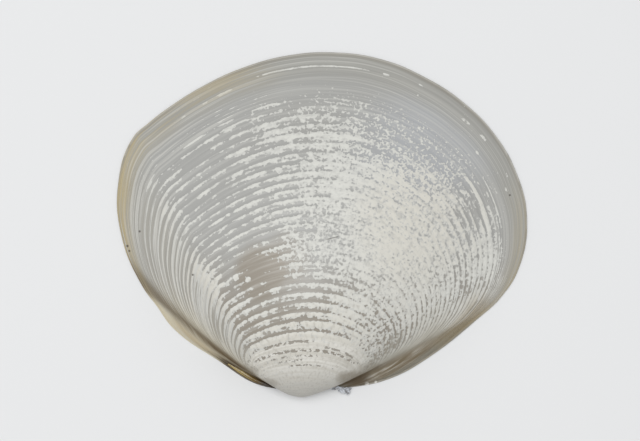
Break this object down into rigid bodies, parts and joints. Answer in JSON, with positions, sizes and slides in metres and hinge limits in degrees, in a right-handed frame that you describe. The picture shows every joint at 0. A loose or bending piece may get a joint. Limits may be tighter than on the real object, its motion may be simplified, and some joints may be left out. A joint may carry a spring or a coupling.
{
  "type": "clam shell valve",
  "caption": "One hollow left valve of a smooth venus clam, lying on its rim with the outside up, with its hinge ligament.",
  "frame": {"origin": "on the plane of the rim, under the middle of the valve's box", "axes": "+X towards the front end of the clam, +Y from the hinge towards the belly margin, +Z out through the swollen outside"},
  "size_m": [0.0418, 0.0352, 0.009],
  "materials": {
    "shell": "satin",
    "ligament": "satin"
  },
  "bodies": {
    "root": {"left_valve": "shell", "ligament": "ligament"}
  },
  "joints": []
}
